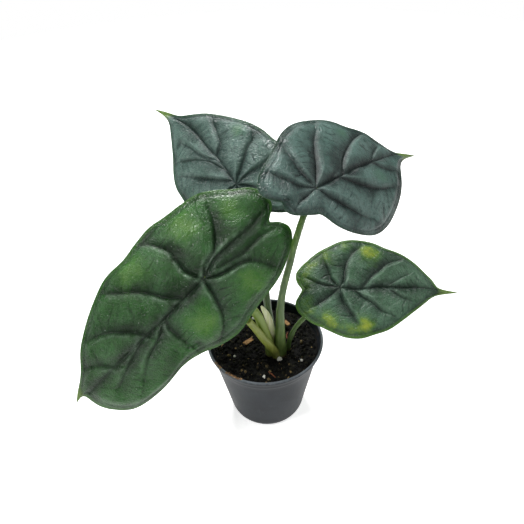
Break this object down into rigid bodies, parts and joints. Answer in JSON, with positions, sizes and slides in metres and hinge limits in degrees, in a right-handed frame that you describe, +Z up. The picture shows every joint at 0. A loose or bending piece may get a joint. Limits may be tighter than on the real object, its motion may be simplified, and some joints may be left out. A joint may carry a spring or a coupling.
{
  "type": "potted alocasia",
  "caption": "Young alocasia with peltate, arrow-shaped quilted leaves on long petioles, growing in a round tapered plastic nursery pot.",
  "frame": {"origin": "centre of the pot's flat underside, on the pot's axis", "axes": "+Z up along the pot's axis, +X towards the plant's right leaf, +Y towards the back leaf"},
  "size_m": [0.2809, 0.1932, 0.226],
  "materials": {
    "pot_plastic": "dark grey thin moulded plastic with a soft sheen",
    "soil": "near black crumbly potting mix of fine bark and peat",
    "rhizome_bark": "dull brown rough skin",
    "blade_green": "dark green leathery blade, quilted, satin",
    "petiole_green": "smooth mid green stalk",
    "sheath_cream": "thin pale papery sheath",
    "perlite_white": "off-white porous grain",
    "bark_straw": "dry straw-brown chip",
    "fibre_brown": "red-brown dry fibre"
  },
  "bodies": {
    "root": {"nursery_pot": "pot_plastic", "potting_mix": "soil", "rhizome": "rhizome_bark", "leaf_front": "blade_green", "leaf_right": "blade_green", "leaf_back": "blade_green", "leaf_upper": "blade_green", "petiole_front": "petiole_green", "petiole_right": "petiole_green", "petiole_back": "petiole_green", "petiole_upper": "petiole_green", "petiole_stub": "petiole_green", "petiole_sheath": "sheath_cream", "perlite_a": "perlite_white", "perlite_b": "perlite_white", "perlite_c": "perlite_white", "perlite_d": "perlite_white", "perlite_e": "perlite_white", "bark_a": "bark_straw", "bark_b": "bark_straw", "bark_c": "bark_straw", "fibre_a": "fibre_brown", "fibre_b": "fibre_brown"}
  },
  "joints": []
}
